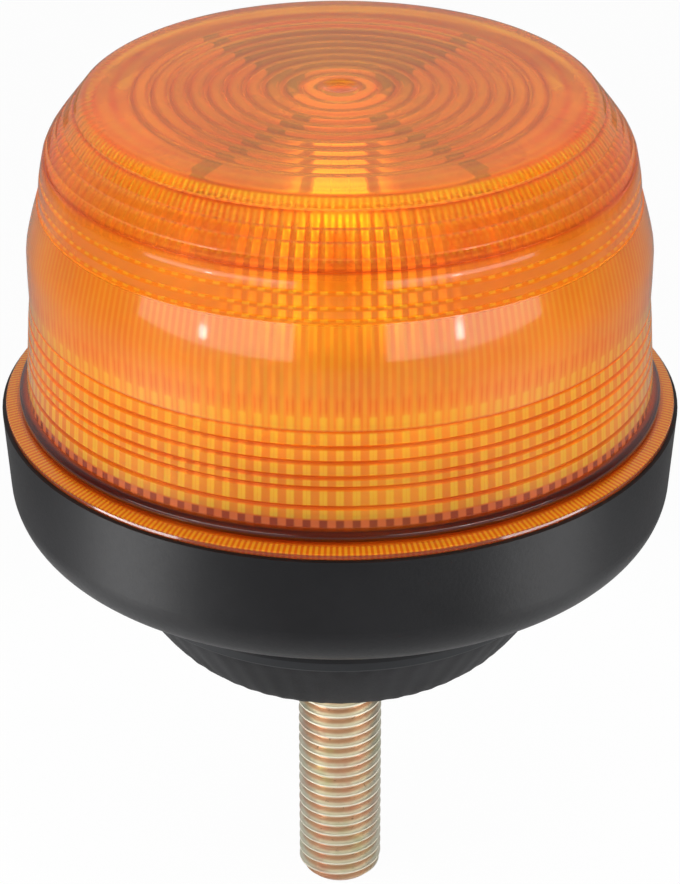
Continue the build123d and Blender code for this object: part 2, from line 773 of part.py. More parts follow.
with BuildPart() as thrust_washer:
    with BuildSketch(Plane.XZ):
        ring_profile(sleeve_radius + slip, thrust_washer_radius, deck_top, deck_top + thrust_washer_thickness)
    revolve(axis=Axis.Z)
save(thrust_washer, "thrust_washer")

# Retaining ring, open on one side so that it snaps into the post's groove
with BuildPart() as retaining_ring:
    ring_inner_radius = sleeve_radius - ring_groove_depth + slip
    with BuildSketch(Plane.XY.offset(ring_bottom + slip / 2)):
        Circle(ring_inner_radius + ring_width)
        Circle(ring_inner_radius, mode=Mode.SUBTRACT)
        with Locations((0, ring_inner_radius + ring_width / 2)):
            Rectangle(ring_width, 2 * ring_width, mode=Mode.SUBTRACT)
    extrude(amount=ring_thickness - slip)
save(retaining_ring, "retaining_ring")

# Rotor
with BuildPart() as rotor_bush:
    with BuildSketch(Plane.XZ):
        ring_profile(bush_inner_radius, bush_radius, bush_bottom, bush_top)
    revolve(axis=Axis.Z)
save(rotor_bush, "rotor_bush")

screw_bottom = gear_bottom + gear_width / 2
with BuildPart() as drive_gear:
    with BuildSketch(Plane.XY.offset(gear_bottom)):
        with BuildLine():
            Polyline(*involute_outline(gear_teeth, gear_module, tooth_thinning), close=True)
        make_face()
        Circle(bush_radius, mode=Mode.SUBTRACT)
    extrude(amount=gear_width)
    with BuildSketch(Plane.XY.offset(gear_top)):
        with PolarLocations(cage_screw_circle, cage_screw_count):
            Circle(cage_screw_radius + slip)
    extrude(amount=screw_bottom - screw_clearance - gear_top, mode=Mode.SUBTRACT)
save(drive_gear, "drive_gear")

with BuildPart() as turntable:
    with BuildSketch(Plane.XY.offset(gear_top)):
        Circle(turntable_radius)
        Circle(bush_radius, mode=Mode.SUBTRACT)
        with PolarLocations(cage_screw_circle, cage_screw_count):
            Circle(cage_screw_radius + slip, mode=Mode.SUBTRACT)
    extrude(amount=turntable_thickness)
    with BuildSketch(Plane.XY.offset(turntable_top)):
        Circle(hub_radius)
        Circle(bush_radius, mode=Mode.SUBTRACT)
    extrude(amount=hub_height)
save(turntable, "turntable")

vane_angles = [side + turn * vane_half_angle for side in (90, 270) for turn in (-1, 1)]
vane_foot_radius = hub_radius + vane_hub_gap
vane_notch_height = sleeve_top + vane_hub_gap
with BuildPart() as reflector_cage:
    with BuildSketch(Plane.XY.offset(turntable_top)):
        Circle(cage_radius)
        Circle(hub_radius + slip, mode=Mode.SUBTRACT)
        with PolarLocations(cage_screw_circle, cage_screw_count):
            Circle(cage_screw_radius + slip, mode=Mode.SUBTRACT)
    extrude(amount=cage_floor_thickness)
    for angle in vane_angles:
        with BuildSketch(arc_start(angle)):
            Polygon(
                (vane_foot_radius, turntable_top),
                (cage_radius, turntable_top),
                (cage_radius, vane_top),
                (vane_inner_radius, vane_top),
                (vane_inner_radius, vane_notch_height),
                (vane_foot_radius, vane_notch_height),
                align=None,
            )
        extrude(amount=vane_thickness / 2, both=True)
    with BuildSketch(Plane.XY.offset(hub_disc_bottom)):
        Circle(hub_disc_radius)
        Circle(hub_cap_stem_radius + slip, mode=Mode.SUBTRACT)
        with PolarLocations(hub_slot_circle, hub_slot_count, start_angle=-90):
            SlotOverall(hub_slot_length, hub_slot_width, rotation=90, mode=Mode.SUBTRACT)
    extrude(amount=hub_disc_thickness)
save(reflector_cage, "reflector_cage")

with BuildPart() as vane_strips:
    strip_length = cage_radius - strip_inner_radius
    with BuildSketch(Plane.XY.offset(vane_top)):
        for angle in vane_angles:
            middle = on_circle(strip_inner_radius + strip_length / 2, angle)
            with Locations(Location((*middle, 0), (0, 0, angle))):
                Rectangle(strip_length, strip_width)
    extrude(amount=strip_height)
save(vane_strips, "vane_strips")

with BuildPart() as hub_cap:
    with BuildSketch(Plane.XY.offset(vane_top)):
        Circle(hub_cap_radius)
    extrude(amount=hub_cap_thickness)
    chamfer(hub_cap.edges().group_by(Axis.Z)[-1], hub_cap_thickness / 3)
    with BuildSketch(Plane.XY.offset(vane_top)):
        Circle(hub_cap_stem_radius)
    extrude(amount=-hub_disc_thickness)
save(hub_cap, "hub_cap")

with BuildPart() as rear_shade:
    shade_margin = degrees(asin((vane_thickness / 2 + shade_side_gap) / shade_inner_radius))
    shade_arc = 2 * (vane_half_angle - shade_margin)
    with BuildSketch(arc_start(90 - shade_arc / 2)):
        Polygon(
            (shade_outer_radius, cage_floor_top),
            (shade_outer_radius, vane_top),
            (shade_inner_radius, vane_top),
            (shade_inner_radius, vane_top - shade_wall),
            (shade_outer_radius - shade_wall, vane_top - shade_wall),
            (shade_outer_radius - shade_wall, cage_floor_top),
            align=None,
        )
    revolve(axis=Axis.Z, revolution_arc=shade_arc)
save(rear_shade, "rear_shade")

with BuildPart() as balance_weight:
    with BuildSketch(Plane.XY.offset(cage_floor_top)):
        with Locations((0, -balance_circle)):
            Circle(balance_radius)
    extrude(amount=balance_height)
save(balance_weight, "balance_weight")

with BuildPart() as cage_screws:
    with BuildSketch(Plane.XY.offset(cage_floor_top)):
        with PolarLocations(cage_screw_circle, cage_screw_count):
            Circle(cage_screw_head_radius)
    extrude(amount=cage_screw_head_height)
    with BuildSketch(Plane.XY.offset(cage_floor_top)):
        with PolarLocations(cage_screw_circle, cage_screw_count):
            Circle(cage_screw_radius)
    extrude(amount=screw_bottom - cage_floor_top)
save(cage_screws, "cage_screws")

# Lamp head: a square heat sink on the post's neck, with a board of lamps on each face
with BuildPart() as lamp_head:
    with BuildSketch(Plane.XY.offset(sleeve_top)):
        Rectangle(head_width, head_width)
        with GridLocations(head_width, head_width, 2, 2):
            Rectangle(2 * head_groove_depth, 2 * head_groove_depth, mode=Mode.SUBTRACT)
    extrude(amount=head_top - sleeve_top)
    with BuildSketch(Plane.XY.offset(sleeve_top)):
        Circle(post_neck_radius + slip)
    extrude(amount=post_neck_length + screw_clearance, mode=Mode.SUBTRACT)
    for side in (-1, 1):
        for plane in (Plane.XZ, Plane.YZ):
            with BuildSketch(plane.offset(side * head_width / 2)):
                fins = head_top - sleeve_top
                groove_x = (head_width - head_groove_width) / 2
                with Locations((-groove_x, sleeve_top + fins / 2), (groove_x, sleeve_top + fins / 2)):
                    Rectangle(head_groove_width / 3, fins)
            extrude(amount=-side * head_groove_depth / 2, mode=Mode.SUBTRACT)
save(lamp_head, "lamp_head")

led_board_bottom = sleeve_top + led_board_foot
face_planes = [
    Plane(
        origin=(*on_circle(head_width / 2, angle), led_board_bottom),
        x_dir=(*on_circle(1, angle + 90), 0),
        z_dir=(*on_circle(1, angle), 0),
    )
    for angle in (0, 90, 180, 270)
]
with BuildPart() as led_boards:
    for plane in face_planes:
        with BuildSketch(plane):
            with Locations((0, led_board_length / 2)):
                Rectangle(led_board_width, led_board_length)
        extrude(amount=led_board_thickness)
save(led_boards, "led_boards")

with BuildPart() as led_chips:
    for plane in face_planes:
        with BuildSketch(plane.offset(led_board_thickness)):
            with Locations((0, led_board_length / 2)):
                with GridLocations(led_width + led_gap, led_length + led_gap, led_columns, led_rows):
                    Rectangle(led_width, led_length)
        extrude(amount=led_thickness)
save(led_chips, "led_chips")

# Motor: fixed can, magnets, end cap and bearing, then the turning shaft, armature and pinion
with BuildPart() as motor_can:
    with BuildSketch(Plane.XY.offset(motor_bottom)):
        with Locations((0, motor_offset)):
            Circle(motor_radius)
    extrude(amount=motor_length)
    with BuildSketch(Plane.XY.offset(motor_bottom)):
        with Locations((0, motor_offset)):
            Circle(motor_radius - motor_wall)
    extrude(amount=motor_length - motor_wall, mode=Mode.SUBTRACT)
    with BuildSketch(Plane.XY.offset(deck_height)):
        with Locations((0, motor_offset)):
            Circle(motor_bore_radius)
            with PolarLocations(motor_screw_circle, 2):
                Circle(motor_screw_radius + slip)
    extrude(amount=-motor_wall, mode=Mode.SUBTRACT)
save(motor_can, "motor_can")

motor_axis = Axis((0, motor_offset, 0), (0, 0, 1))
armature_radius = motor_radius - motor_wall - magnet_thickness - armature_gap
armature_top = deck_height - motor_wall - magnet_end_gap
armature_bottom = motor_bottom + magnet_end_gap
magnet_outer = motor_radius - motor_wall - slip
with BuildPart() as motor_magnets:
    for side in (-1, 1):
        start = full_turn / 4 * (1 - side) - magnet_arc / 2
        facing = (*on_circle(1, start), 0)
        plane = Plane(origin=(0, motor_offset, 0), x_dir=facing, z_dir=(*on_circle(1, start - 90), 0))
        with BuildSketch(plane):
            ring_profile(magnet_outer - magnet_thickness, magnet_outer, armature_bottom, armature_top)
        revolve(axis=motor_axis, revolution_arc=magnet_arc)
save(motor_magnets, "motor_magnets")

with BuildPart() as motor_bush:
    with BuildSketch(Plane.XY.offset(deck_height - motor_wall)):
        with Locations((0, motor_offset)):
            Circle(motor_bore_radius - slip)
            Circle(motor_shaft_radius + running, mode=Mode.SUBTRACT)
    extrude(amount=motor_wall + motor_boss_height)
save(motor_bush, "motor_bush")

with BuildPart() as motor_end_cap:
    with BuildSketch(Plane.XY.offset(motor_bottom - end_cap_thickness)):
        with Locations((0, motor_offset)):
            Circle(motor_radius - end_cap_inset)
    extrude(amount=end_cap_thickness)
    with BuildSketch(Plane.XY.offset(motor_bottom - end_cap_thickness / 2)):
        with Locations((0, motor_offset)):
            Circle(motor_shaft_radius + running)
    extrude(amount=end_cap_thickness / 2, mode=Mode.SUBTRACT)
save(motor_end_cap, "motor_end_cap")

terminal_row = motor_offset - motor_screw_circle
with BuildPart() as motor_terminals:
    with BuildSketch(Plane.XY.offset(motor_bottom - end_cap_thickness)):
        with Locations(*[(side * terminal_spread / 2, terminal_row) for side in (-1, 1)]):
            Rectangle(terminal_width, terminal_thickness)
    extrude(amount=-terminal_length)
save(motor_terminals, "motor_terminals")

with BuildPart() as motor_screws:
    head_bottom = deck_top - motor_screw_head_height - screw_clearance
    with BuildSketch(Plane.XY.offset(head_bottom)):
        with Locations((0, motor_offset)):
            with PolarLocations(motor_screw_circle, 2):
                Circle(motor_screw_head_radius)
    extrude(amount=motor_screw_head_height)
    with BuildSketch(Plane.XY.offset(head_bottom)):
        with Locations((0, motor_offset)):
            with PolarLocations(motor_screw_circle, 2):
                Circle(motor_screw_radius)
    extrude(amount=deck_height - motor_wall - head_bottom)
save(motor_screws, "motor_screws")

pinion_bottom = gear_bottom + pinion_end_gap
pinion_length = gear_width - 2 * pinion_end_gap
with BuildPart() as motor_shaft:
    with BuildSketch(Plane.XY.offset(motor_bottom - end_cap_thickness / 2 + slip)):
        with Locations((0, motor_offset)):
            Circle(motor_shaft_radius)
    extrude(amount=pinion_bottom + pinion_length - motor_bottom + end_cap_thickness / 2)
save(motor_shaft, "motor_shaft")

with BuildPart() as motor_armature:
    with BuildSketch(Plane.XY.offset(armature_bottom)):
        with Locations((0, motor_offset)):
            Circle(armature_radius)
            Circle(motor_shaft_radius + slip / 2, mode=Mode.SUBTRACT)
            with PolarLocations(armature_radius, armature_slots):
                Rectangle(armature_radius, armature_slot_width, mode=Mode.SUBTRACT)
    extrude(amount=armature_top - armature_bottom)
save(motor_armature, "motor_armature")

pinion_turn = 270 + (gear_teeth / 4 - 0.5) * full_turn / pinion_teeth
with BuildPart() as pinion:
    turned = (*on_circle(1, pinion_turn), 0)
    with BuildSketch(Plane(origin=(0, motor_offset, pinion_bottom), x_dir=turned, z_dir=(0, 0, 1))):
        with BuildLine():
            Polyline(*involute_outline(pinion_teeth, gear_module, tooth_thinning), close=True)
        make_face()
        Circle(motor_shaft_radius + slip / 2, mode=Mode.SUBTRACT)
    extrude(amount=pinion_length)
save(pinion, "pinion")

# Driver board and its components
with BuildPart() as driver_board:
    with BuildSketch(Plane.XY.offset(board_height)):
        Circle(board_radius)
        with Locations((0, motor_offset)):
            Circle(motor_radius + board_motor_gap, mode=Mode.SUBTRACT)
        with PolarLocations(chassis_post_circle, chassis_post_count, start_angle=full_turn / chassis_post_count / 2):
            Circle(chassis_post_radius + board_post_gap, mode=Mode.SUBTRACT)
        with Locations(*[on_circle(standoff_circle, angle) for angle in standoff_angles]):
            Circle(board_screw_radius + slip, mode=Mode.SUBTRACT)
    extrude(amount=board_thickness)
save(driver_board, "driver_board")

with BuildPart() as board_screws:
    with BuildSketch(Plane.XY.offset(board_top)):
        with Locations(*[on_circle(standoff_circle, angle) for angle in standoff_angles]):
            Circle(board_screw_head_radius)
    extrude(amount=board_screw_head_height)
    with BuildSketch(Plane.XY.offset(board_top)):
        with Locations(*[on_circle(standoff_circle, angle) for angle in standoff_angles]):
            Circle(board_screw_radius)
    extrude(amount=-board_screw_length)
save(board_screws, "board_screws")

with BuildPart() as filter_capacitors:
    with BuildSketch(Plane.XY.offset(board_top)):
        with Locations(*capacitor_places):
            Circle(capacitor_radius)
    extrude(amount=capacitor_height)
save(filter_capacitors, "filter_capacitors")

with BuildPart() as choke:
    with BuildSketch(Plane.XY.offset(board_top)):
        with Locations(choke_place):
            Circle(choke_radius)
            Circle(choke_hole_radius, mode=Mode.SUBTRACT)
    extrude(amount=choke_height)
    fillet(choke.edges().filter_by(GeomType.CIRCLE), choke_height / 4)
save(choke, "choke")

with BuildPart() as regulator:
    length, width, height = regulator_size
    tab_width, tab_length, tab_height = regulator_tab_size
    with BuildSketch(Plane.XY.offset(board_top)):
        with Locations(regulator_place):
            Rectangle(length, width)
    extrude(amount=height)
    with BuildSketch(Plane.XY.offset(board_top)):
        with Locations((regulator_place[0], regulator_place[1] + (width + tab_length) / 2)):
            Rectangle(tab_width, tab_length)
    extrude(amount=tab_height)
save(regulator, "regulator")

with BuildPart() as driver_chips:
    with BuildSketch(Plane.XY.offset(board_top)):
        with Locations(*chip_places):
            Rectangle(chip_size[0], chip_size[1])
    extrude(amount=chip_size[2])
save(driver_chips, "driver_chips")

with BuildPart() as terminal_block:
    length, width, height = terminal_block_size
    with BuildSketch(Plane.XY.offset(board_top)):
        with Locations(terminal_block_place):
            Rectangle(length, width)
    extrude(amount=height)
    with BuildSketch(Plane.XZ.offset(-(terminal_block_place[1] + width / 2))):
        with Locations((terminal_block_place[0], board_top + height / 2)):
            with GridLocations(terminal_entry_pitch, terminal_entry_pitch, terminal_ways, 1):
                Circle(terminal_entry_radius)
    extrude(amount=terminal_entry_depth, mode=Mode.SUBTRACT)
save(terminal_block, "terminal_block")

with BuildPart() as lamp_leads:
    with BuildSketch(Plane.XY.offset(board_top)):
        with GridLocations(2 * lamp_lead_spread, 1, 2, 1):
            Circle(lead_radius)
    extrude(amount=sleeve_top + post_neck_length - lamp_lead_end_gap - board_top)
save(lamp_leads, "lamp_leads")

with BuildPart() as motor_leads:
    lead_height = motor_bottom - end_cap_thickness - terminal_length / 2
    for side in (-1, 1):
        lead_x = side * terminal_spread / 2
        with BuildLine() as lead_path:
            FilletPolyline(
                (lead_x, terminal_row - terminal_thickness / 2, lead_height),
                (lead_x, terminal_row - motor_lead_reach, lead_height),
                (lead_x, terminal_row - motor_lead_reach, board_height),
                radius=motor_lead_bend_radius,
            )
        with BuildSketch(Plane.XZ.offset(-(terminal_row - terminal_thickness / 2))):
            with Locations((lead_x, lead_height)):
                Circle(lead_radius)
        sweep(path=lead_path.wire())
save(motor_leads, "motor_leads")
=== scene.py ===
import json
import math

import bpy
import numpy as np
from bpy.props import FloatProperty, FloatVectorProperty, IntProperty, PointerProperty
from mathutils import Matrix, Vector


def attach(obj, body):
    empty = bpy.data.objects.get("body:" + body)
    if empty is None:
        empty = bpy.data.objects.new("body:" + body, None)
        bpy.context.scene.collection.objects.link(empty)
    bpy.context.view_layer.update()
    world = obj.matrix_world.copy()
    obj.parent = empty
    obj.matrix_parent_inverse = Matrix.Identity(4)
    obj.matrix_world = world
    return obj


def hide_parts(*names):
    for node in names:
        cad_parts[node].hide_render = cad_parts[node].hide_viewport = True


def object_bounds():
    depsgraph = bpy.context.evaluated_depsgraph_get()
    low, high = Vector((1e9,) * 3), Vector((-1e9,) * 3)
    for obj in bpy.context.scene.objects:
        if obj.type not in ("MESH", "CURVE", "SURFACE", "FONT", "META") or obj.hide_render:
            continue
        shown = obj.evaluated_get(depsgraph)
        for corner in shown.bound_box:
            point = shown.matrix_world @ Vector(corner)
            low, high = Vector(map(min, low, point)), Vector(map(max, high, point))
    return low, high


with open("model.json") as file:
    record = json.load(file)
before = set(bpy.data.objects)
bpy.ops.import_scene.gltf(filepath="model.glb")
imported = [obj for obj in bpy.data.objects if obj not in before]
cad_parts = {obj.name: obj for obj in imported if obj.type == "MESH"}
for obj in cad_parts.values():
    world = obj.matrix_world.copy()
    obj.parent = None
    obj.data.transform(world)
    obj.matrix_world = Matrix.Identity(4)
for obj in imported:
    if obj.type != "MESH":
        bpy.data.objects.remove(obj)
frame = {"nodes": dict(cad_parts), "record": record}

cad_low, cad_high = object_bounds()

bl_info = {
    "name": "Rotating beacon looks",
    "version": (1, 0, 0),
    "blender": (4, 5, 0),
    "location": "View3D > Sidebar > Beacon",
    "description": "Dresses the packed beacon: amber lens, rubber foot, finishes, lamps and camera",
    "category": "Object",
}

MM = 0.001
SHARP_ANGLE = 32

# Section of the lens: radius and height in millimetres, on the outside

LOWER_WALL = ((50.0, 47.2), (49.7, 51.3), (49.45, 55.1), (49.15, 59.8), (48.9, 62.7))
MIDDLE_WALL = ((48.9, 62.7), (49.0, 69.0), (48.95, 71.5), (48.25, 74.9), (47.1, 79.0))
UPPER_WALL = ((46.9, 79.0), (46.5, 83.0), (45.8, 86.6))
CROWN_WALL = ((45.8, 86.6), (45.1, 88.2), (43.9, 90.0), (42.4, 92.0), (40.4, 94.6))
LOWER_RINGS = (50.5, 53.6, 55.3, 57.7, 60.1, 62.7)
UPPER_RINGS = (79.4, 81.3, 83.6, 86.6)
CROWN_RINGS = (88.0, 90.0, 91.6, 93.8)
BAND_ROWS = (6, 5, 13, 8)
RING_WIDTH = 0.42
RING_DEPTH = 0.3
BEAD_CENTRE = (50.2, 46.15)
BEAD_RADIUS = 1.0
TOP_ROUND = ((39.1, 95.66), (39.65, 95.35), (40.1, 95.0))
TOP_EDGE = (38.4, 95.8)
TOP_HEIGHT = 96.6
DIMPLE_RADIUS = 2.6
DIMPLE_DEPTH = 0.7
PRISM_PITCH = 2.9
PRISM_COUNT = 11
PRISM_DEPTH = 0.28
PRISM_WIDTH = 1.0
FLANGE = ((50.9, 45.2), (53.2, 44.75), (53.4, 44.55), (53.4, 43.9), (53.3, 43.8), (49.3, 43.8))
SKIRT_RADIUS = 49.3
SKIRT_INNER_RADIUS = 47.1
SKIRT_INNER_TOP = 45.2
SKIRT_BOTTOM = 38.9
LUG_RADIUS = 50.77
LUG_TOP = 40.4
LUG_HALF_ANGLE = 12.0
LUG_COUNT = 3
INNER_HEIGHTS = (48.0, 51.45, 54.9, 58.35, 61.8, 64.0, 69.0, 72.0, 75.0, 77.8, 79.6, 82.5, 85.4, 87.4, 88.8, 90.2,
                 91.6)
INNER_CORNER = (47.0, 79.0)

# Section of the rubber foot, anticlockwise from the bore

FOOT_SECTION = ((7.3, 0.0), (12, 0.0), (23.9, 0.0), (24.5, 0.25), (27.2, 2.0), (29.4, 4.0), (31.3, 6.4), (33.3, 9.2),
                (34.9, 11.6), (36.0, 13.4), (36.2, 13.9), (36.7, 13.95), (37.0, 14.3), (37.0, 15.7), (36.6, 16.15),
                (30, 16.2), (7.3, 16.2))
RIB_HEIGHTS = (1, 13.5)
FOOT_STEPS = 448

# Heights and colours of the lens's finish; the ring, dimple, foot row, bead and flange colours are painted light and
# shade

LOWER_BAND_START = 48.7
WAIST_HEIGHT = 62.7
BELLY_END = 78.8
NECK_HEIGHT = 86.6
RIM_BAND = (91.9, 95.4)
TOP_FADE = (90.0, 92.0)
RING_PAINTED_SHADE = (0.55, 0.09, 0.008)
DIMPLE_PAINTED_SHADE = (0.70, 0.16, 0.01)
FOOT_ROW_LIGHT_AND_SHADE = (0.78, 0.20, 0.045), (0.22, 0.025, 0.005)
BEAD_PAINTED_SHADE = (0.035, 0.010, 0.006)
FLANGE_PAINTED_SHADE = (0.80, 0.20, 0.012)
FLANGE_EDGE_PAINTED_SHADE = (0.15, 0.03, 0.02)
SHADOW_TINT = (1.0, 0.80, 0.40)

# Stage, in metres and watts

FLOOR_GAP = 0.0004
FLOOR_THICKNESS = 0.004
FLOOR_RADII = (0.02, 3.0)
FLOOR_GREYS = (0.34, 0.34, 0.34), (0.37, 0.37, 0.37)
FLOOR_UNDER_GREY = (0.88, 0.88, 0.88)
FLOOR_UNDER_RADII = (0.09, 0.15)
FLOOR_GLOW = 0.97
SKY_COLOUR = (0.95, 0.97, 1.0)
SKY_FRONT, SKY_REAR = 0.06, 0.36
SKY_FADE = (0.05, 0.65)
WHITE = (1, 1, 1)
MIDDLE, BELLY, STUD = (0, 0, 0.06), (0, 0, 0.096), (0, 0, -0.029)
SPARK = (0, 0, 0.07)
LAMPS = (
    # name, place, aim, width, height, power, seen in reflections
    ("key_left", (-0.60, -0.60, 0.60), MIDDLE, 0.9, 0.9, 4.1, False),
    ("key_right", (0.60, -0.60, 0.55), MIDDLE, 0.9, 0.9, 3.6, False),
    ("overhead", (0.0, 0.10, 0.95), MIDDLE, 1.1, 1.1, 5.8, False),
    ("side_left", (-0.27, -0.29, 0.096), BELLY, 0.42, 0.068, 0.22, True),
    ("spark_left", (-0.240, -0.240, 0.083), SPARK, 0.016, 0.016, 0.014, True),
    ("low_left", (-0.13, -0.07, -0.029), STUD, 0.08, 0.032, 0.080, True),
    ("side_right", (0.27, -0.29, 0.096), BELLY, 0.42, 0.068, 0.22, True),
    ("spark_right", (0.214, -0.262, 0.090), SPARK, 0.016, 0.016, 0.014, True),
    ("low_right", (0.13, -0.07, -0.029), STUD, 0.08, 0.032, 0.055, True),
)
CAMERA_PLACE = (0.0, -0.4534, 0.2794)
CAMERA_TILT = 61.64
SENSOR_WIDTH = 36.0
CLIP_NEAR, CLIP_FAR = 0.01, 20.0


# Sizes and colours that a user would change

class BeaconSettings(bpy.types.PropertyGroup):
    """Sizes and colours of the dressed beacon."""

    flute_count: IntProperty(name="Flutes", description="Upright flutes round the inside of the lens", default=128)
    flute_depth: FloatProperty(name="Flute depth", description="Half the height of a flute", default=0.20 * MM,
                               unit="LENGTH")
    lens_wall: FloatProperty(name="Lens wall", description="Thickness of the lens", default=2.4 * MM, unit="LENGTH")
    lens_steps: IntProperty(name="Lens steps", description="Points round the lens", default=512)
    foot_ribs: IntProperty(name="Foot ribs", description="Upright ribs on the rubber foot", default=56)
    foot_rib_height: FloatProperty(name="Rib height", description="How far a rib stands out", default=0.16 * MM,
                                   unit="LENGTH")
    amber: FloatVectorProperty(name="Amber", description="Body colour of the lens", subtype="COLOR", size=3,
                               default=(1.0, 0.31, 0.015))
    # Deep amber: the slow random tone of the lens, also used for the painted shade on the belly's flutes
    amber_deep: FloatVectorProperty(name="Deep amber", description="Thick parts of the lens", subtype="COLOR", size=3,
                                    default=(0.88, 0.17, 0.004))
    # Light amber: the colour of the painted highlights in the prism cells and on the flange
    amber_highlight: FloatVectorProperty(name="Pale amber", description="Middles of the prism cells", subtype="COLOR",
                                    size=3, default=(1.0, 0.64, 0.030))
    black: FloatVectorProperty(name="Black", description="Moulded base", subtype="COLOR", size=3,
                               default=(0.0148, 0.0148, 0.0162))
    # Thread colours: the crests painted light as a highlight, the valleys painted darker as shade
    zinc_crest_highlight: FloatVectorProperty(name="Zinc crest", description="Thread crests", subtype="COLOR", size=3,
                                    default=(1.0, 0.95, 0.76))
    zinc_valley_shade: FloatVectorProperty(name="Zinc valley", description="Thread valleys", subtype="COLOR", size=3,
                                     default=(0.72, 0.50, 0.34))
    camera_lens: FloatProperty(name="Camera lens", description="Focal length in millimetres", default=129.5)


def settings():
    """The sizes and colours in use."""
    return bpy.context.scene.beacon


# Surfaces

def smooth_line(knots, at):
    """Cubic line through knots (x, y): Hermite blend h00 y0 + h10 d m0 + h01 y1 + h11 d m1 with central slopes."""
    x, y = np.array(knots, float).T
    slope = np.gradient(y, x)
    i = np.clip(np.searchsorted(x, at) - 1, 0, len(x) - 2)
    span = x[i + 1] - x[i]
    t = (at - x[i]) / span
    return ((2 * t**3 - 3 * t**2 + 1) * y[i] + (t**3 - 2 * t**2 + t) * span * slope[i]
            + (3 * t**2 - 2 * t**3) * y[i + 1] + (t**3 - t**2) * span * slope[i + 1])


def piece_from_rows(name, points, poles=(False, False), loop=False):
    """A mesh from rows of points round an axis, points[row, step] = (x, y, z).

    Each row closes on itself, the last row joins the first in a loop, and a pole closes an end with a fan.
    Faces are turned so that the enclosed volume, the sum of p0 . (p1 x p2) / 6, is positive."""
    rows, steps = points.shape[:2]
    vertices = points.reshape(-1, 3)
    row = np.arange(rows if loop else rows - 1)[:, None]
    step = np.arange(steps)[None, :]
    after = (row + 1) % rows
    quads = np.stack([row * steps + step, row * steps + (step + 1) % steps,
                      after * steps + (step + 1) % steps, after * steps + step], axis=-1).reshape(-1, 4)
    fans = []
    for wanted, end in zip(poles, (0, rows - 1)):
        if wanted:
            centre = len(vertices)
            vertices = np.vstack([vertices, points[end].mean(axis=0)])
            ring = end * steps + np.arange(steps)
            following = end * steps + (np.arange(steps) + 1) % steps
            first, second = (following, ring) if end == 0 else (ring, following)
            fans.append(np.stack([first, second, np.full(steps, centre)], axis=-1))
    triangles = np.vstack([quads[:, [0, 1, 2]], quads[:, [0, 2, 3]], *fans])
    a, b, c = (vertices[triangles[:, k]] for k in range(3))
    if np.einsum("ij,ij->i", a, np.cross(b, c)).sum() < 0:
        quads = quads[:, ::-1]
        fans = [fan[:, ::-1] for fan in fans]
    mesh = bpy.data.meshes.new(name)
    mesh.from_pydata(vertices, [], [*quads.tolist(), *(t for fan in fans for t in fan.tolist())])
    mesh.shade_smooth()
    mesh.set_sharp_from_angle(angle=math.radians(SHARP_ANGLE))
    mesh.update()
    made = bpy.data.objects.new(name, mesh)
    bpy.context.scene.collection.objects.link(made)
    return made


def turned(radius, height, steps, wave=None, count=0):
    """Rows of a turned shape: x = R cos a, y = R sin a with R = radius + wave cos(count a)."""
    angle = np.linspace(0, 2 * np.pi, steps, endpoint=False)
    radius = np.asarray(radius, float)[:, None] * np.ones_like(angle)
    if wave is not None:
        radius = radius + np.asarray(wave, float)[:, None] * np.cos(count * angle)
    height = np.asarray(height, float)[:, None] * np.ones_like(angle)
    return np.stack([radius * np.cos(angle), radius * np.sin(angle), height], axis=-1)


# Shader maths

class Signal:
    """A number that varies over a surface or the backdrop. Python operators on it add Math nodes."""

    def __init__(self, nodes, socket):
        self.nodes = nodes
        self.socket = socket

    def math(self, operation, *others, first=None):
        values = [self if first is None else first, *others]
        node = self.nodes.node("ShaderNodeMath", {"operation": operation}, dict(enumerate(values)))
        return Signal(self.nodes, node.outputs[0])

    def __add__(self, other):
        return self.math("ADD", other)

    def __radd__(self, other):
        return self.math("ADD", other)

    def __sub__(self, other):
        return self.math("SUBTRACT", other)

    def __rsub__(self, other):
        return self.math("SUBTRACT", self, first=other)

    def __mul__(self, other):
        return self.math("MULTIPLY", other)

    def __rmul__(self, other):
        return self.math("MULTIPLY", other)

    def __truediv__(self, other):
        return self.math("DIVIDE", other)

    def __rtruediv__(self, other):
        return self.math("DIVIDE", self, first=other)

    def sin(self):
        return self.math("SINE")

    def cos(self):
        return self.math("COSINE")

    def fract(self):
        return self.math("FRACT")

    def size(self):
        return self.math("ABSOLUTE")

    def angle_to(self, other):
        return self.math("ARCTAN2", other)

    def sqrt(self):
        return self.math("SQRT")

    def step(self, low, high):
        """0 below low, 1 above high, smooth between."""
        node = self.nodes.node("ShaderNodeMapRange", {"interpolation_type": "SMOOTHSTEP"},
                                {"Value": self, "From Min": low, "From Max": high})
        return Signal(self.nodes, node.outputs[0])


class Nodes:
    """A node tree under construction, of a finish or of the backdrop."""

    def __init__(self, owner, output):
        owner.use_nodes = True
        self.tree = owner.node_tree
        self.tree.nodes.clear()
        self.output = self.tree.nodes.new(output)

    def node(self, kind, setup, inputs):
        """Adds a node, sets its settings, then the values or links of its sockets."""
        made = self.tree.nodes.new(kind)
        for key, value in setup.items():
            setattr(made, key, value)
        for key, value in inputs.items():
            socket = made.inputs[key]
            if isinstance(value, Signal):
                value = value.socket
            if isinstance(value, bpy.types.NodeSocket):
                self.tree.links.new(value, socket)
            elif hasattr(value, "__len__") and len(value) == 3 and socket.type == "RGBA":
                socket.default_value = (*value, 1.0)
            else:
                socket.default_value = value
        return made

    def seen(self):
        """1 on what the camera sees straight or through the lens."""
        path = self.node("ShaderNodeLightPath", {}, {})
        straight, through = (Signal(self, path.outputs[name]) for name in ("Is Camera Ray", "Is Transmission Ray"))
        return straight.math("MAXIMUM", through)

    def blend(self, factor, first, second):
        """A shader between two shaders."""
        return self.node("ShaderNodeMixShader", {}, {0: factor, 1: first, 2: second}).outputs[0]

    def close(self, shader):
        """Sends the shader to the output."""
        self.tree.links.new(shader, self.output.inputs["Surface"])


